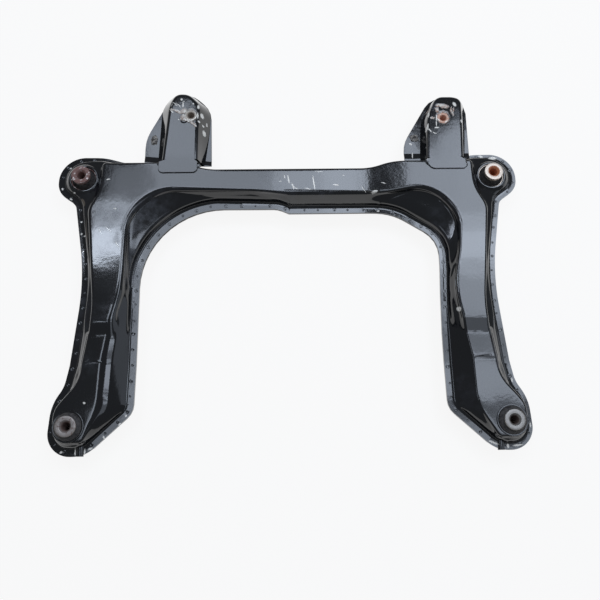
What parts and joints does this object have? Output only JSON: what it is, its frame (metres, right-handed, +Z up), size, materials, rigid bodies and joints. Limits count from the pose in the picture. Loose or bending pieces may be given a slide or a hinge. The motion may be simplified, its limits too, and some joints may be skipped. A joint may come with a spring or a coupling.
{
  "type": "subframe",
  "caption": "U-shaped car subframe welded from two pressed steel shells, with rubber body bushes at its corners and bolt-down tongues on its crossbar.",
  "frame": {"origin": "under the middle of the part's outer box, on the plane of the lower ends of the four bush sleeves", "axes": "+Z up as fitted in the car, +Y to the tongues at the front, +X to the part's right"},
  "size_m": [0.856, 0.677, 0.0781],
  "materials": {
    "black_paint": "worn glossy black paint over pressed steel sheet",
    "bare_steel": "turned bare steel with light rust",
    "rubber": "aged dull black rubber"
  },
  "bodies": {
    "root": {"upper_shell": "black_paint", "lower_shell": "black_paint", "left_tongue_hat": "black_paint", "left_tongue_plate": "black_paint", "left_tongue_spacer": "bare_steel", "right_tongue_hat": "black_paint", "right_tongue_plate": "black_paint", "right_tongue_spacer": "bare_steel", "front_left_housing": "black_paint", "front_left_outer_sleeve": "bare_steel", "front_left_rubber": "rubber", "front_left_inner_sleeve": "bare_steel", "front_right_housing": "black_paint", "front_right_outer_sleeve": "bare_steel", "front_right_rubber": "rubber", "front_right_inner_sleeve": "bare_steel", "rear_left_housing": "black_paint", "rear_left_outer_sleeve": "bare_steel", "rear_left_rubber": "rubber", "rear_left_inner_sleeve": "bare_steel", "rear_right_housing": "black_paint", "rear_right_outer_sleeve": "bare_steel", "rear_right_rubber": "rubber", "rear_right_inner_sleeve": "bare_steel"}
  },
  "joints": []
}
